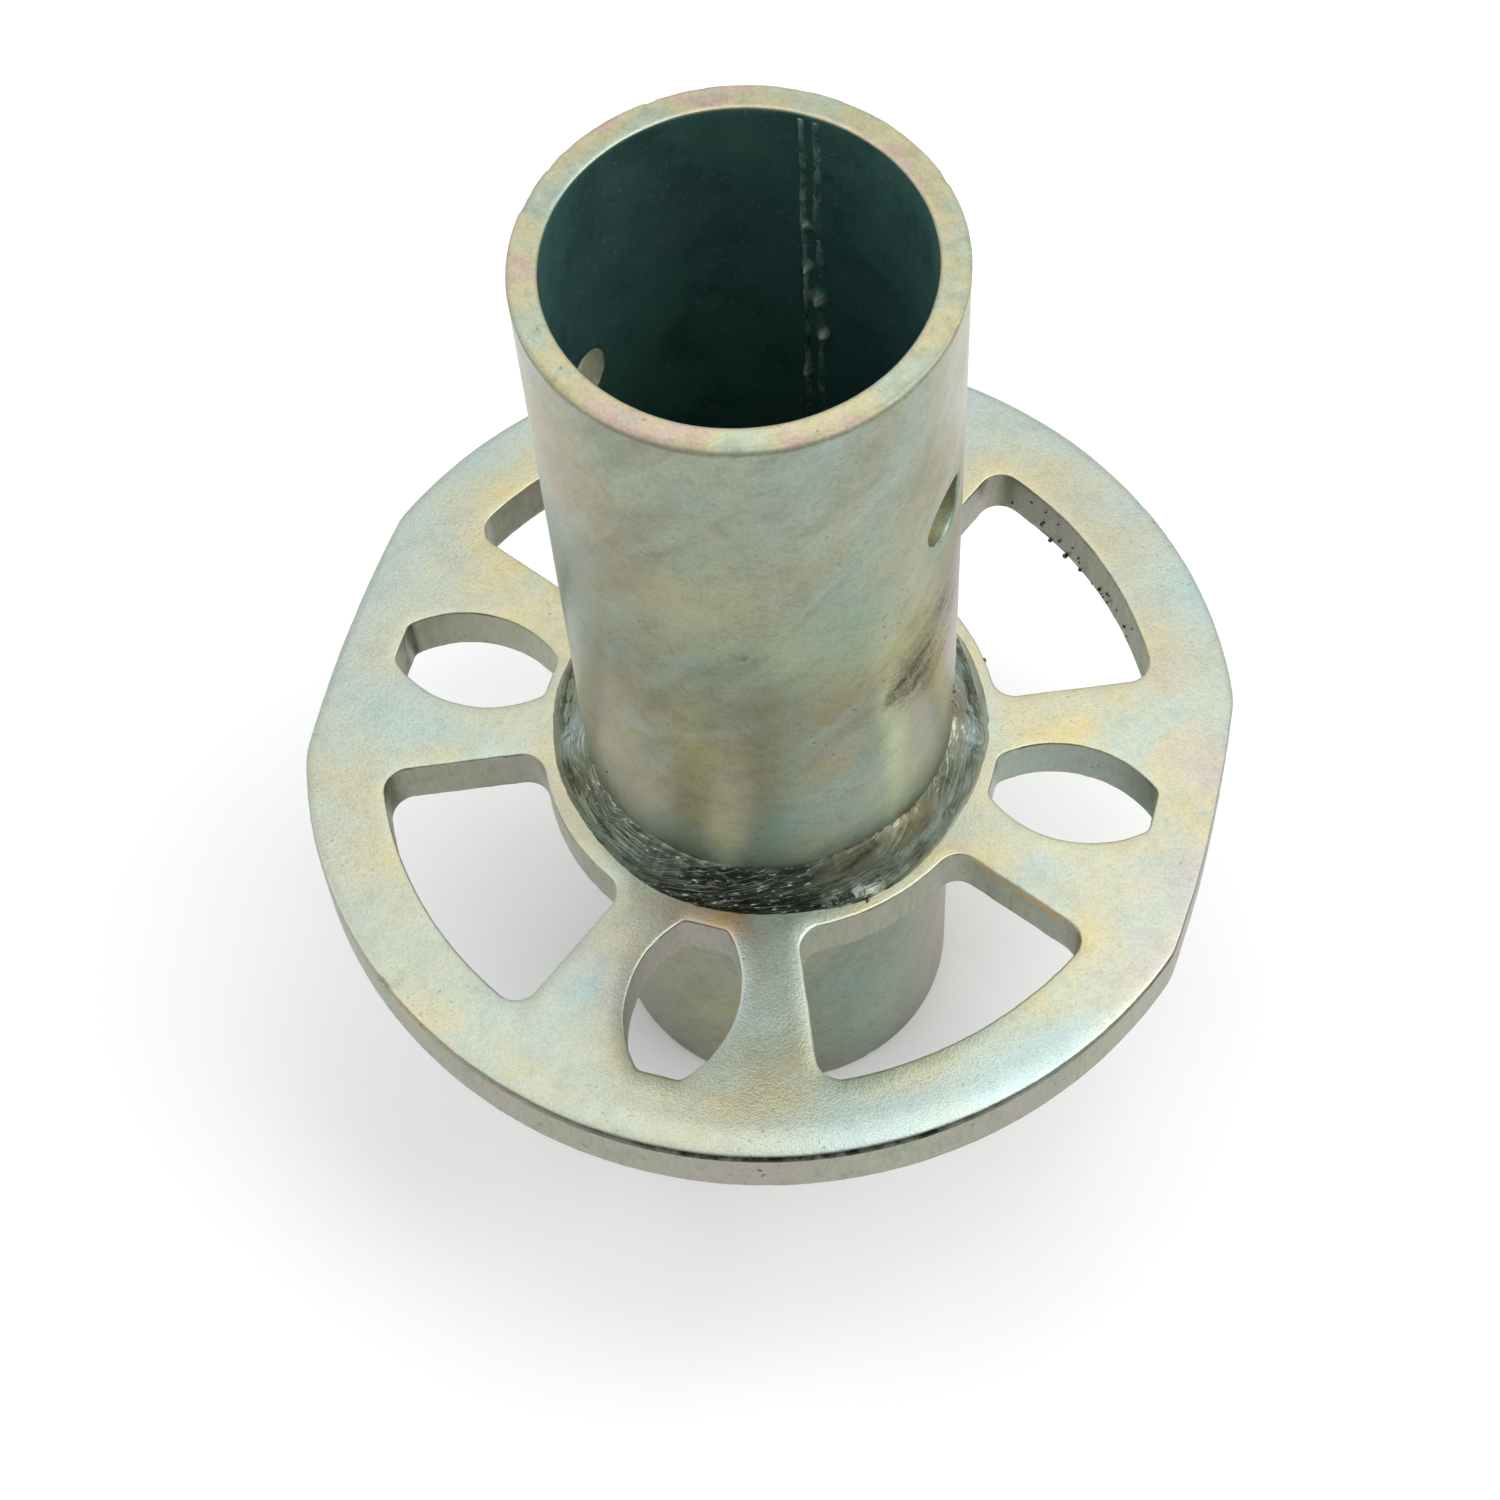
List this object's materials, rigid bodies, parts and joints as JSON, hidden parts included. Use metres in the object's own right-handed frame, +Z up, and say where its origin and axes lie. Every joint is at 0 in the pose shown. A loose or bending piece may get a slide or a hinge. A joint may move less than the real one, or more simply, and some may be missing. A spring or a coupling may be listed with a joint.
{
  "type": "scaffold base collar",
  "caption": "Welded steel base collar for modular scaffolding: a straight open tube through a flat disc with lens slots and wedge windows that take ledger and brace heads.",
  "frame": {"origin": "centre of the tube's lower end", "axes": "+Z up the tube; +X along the two lens slots that have a flat of the rim beside them, about 9 degrees from the lock holes; half a turn about Z gives the same solids"},
  "size_m": [0.1188, 0.123, 0.158],
  "materials": {
    "tube_zinc": "satin",
    "disc_zinc": "satin",
    "weld_zinc": "satin"
  },
  "bodies": {
    "root": {"collar_tube": "tube_zinc", "rosette": "disc_zinc", "upper_weld": "weld_zinc", "lower_weld": "weld_zinc"}
  },
  "joints": []
}
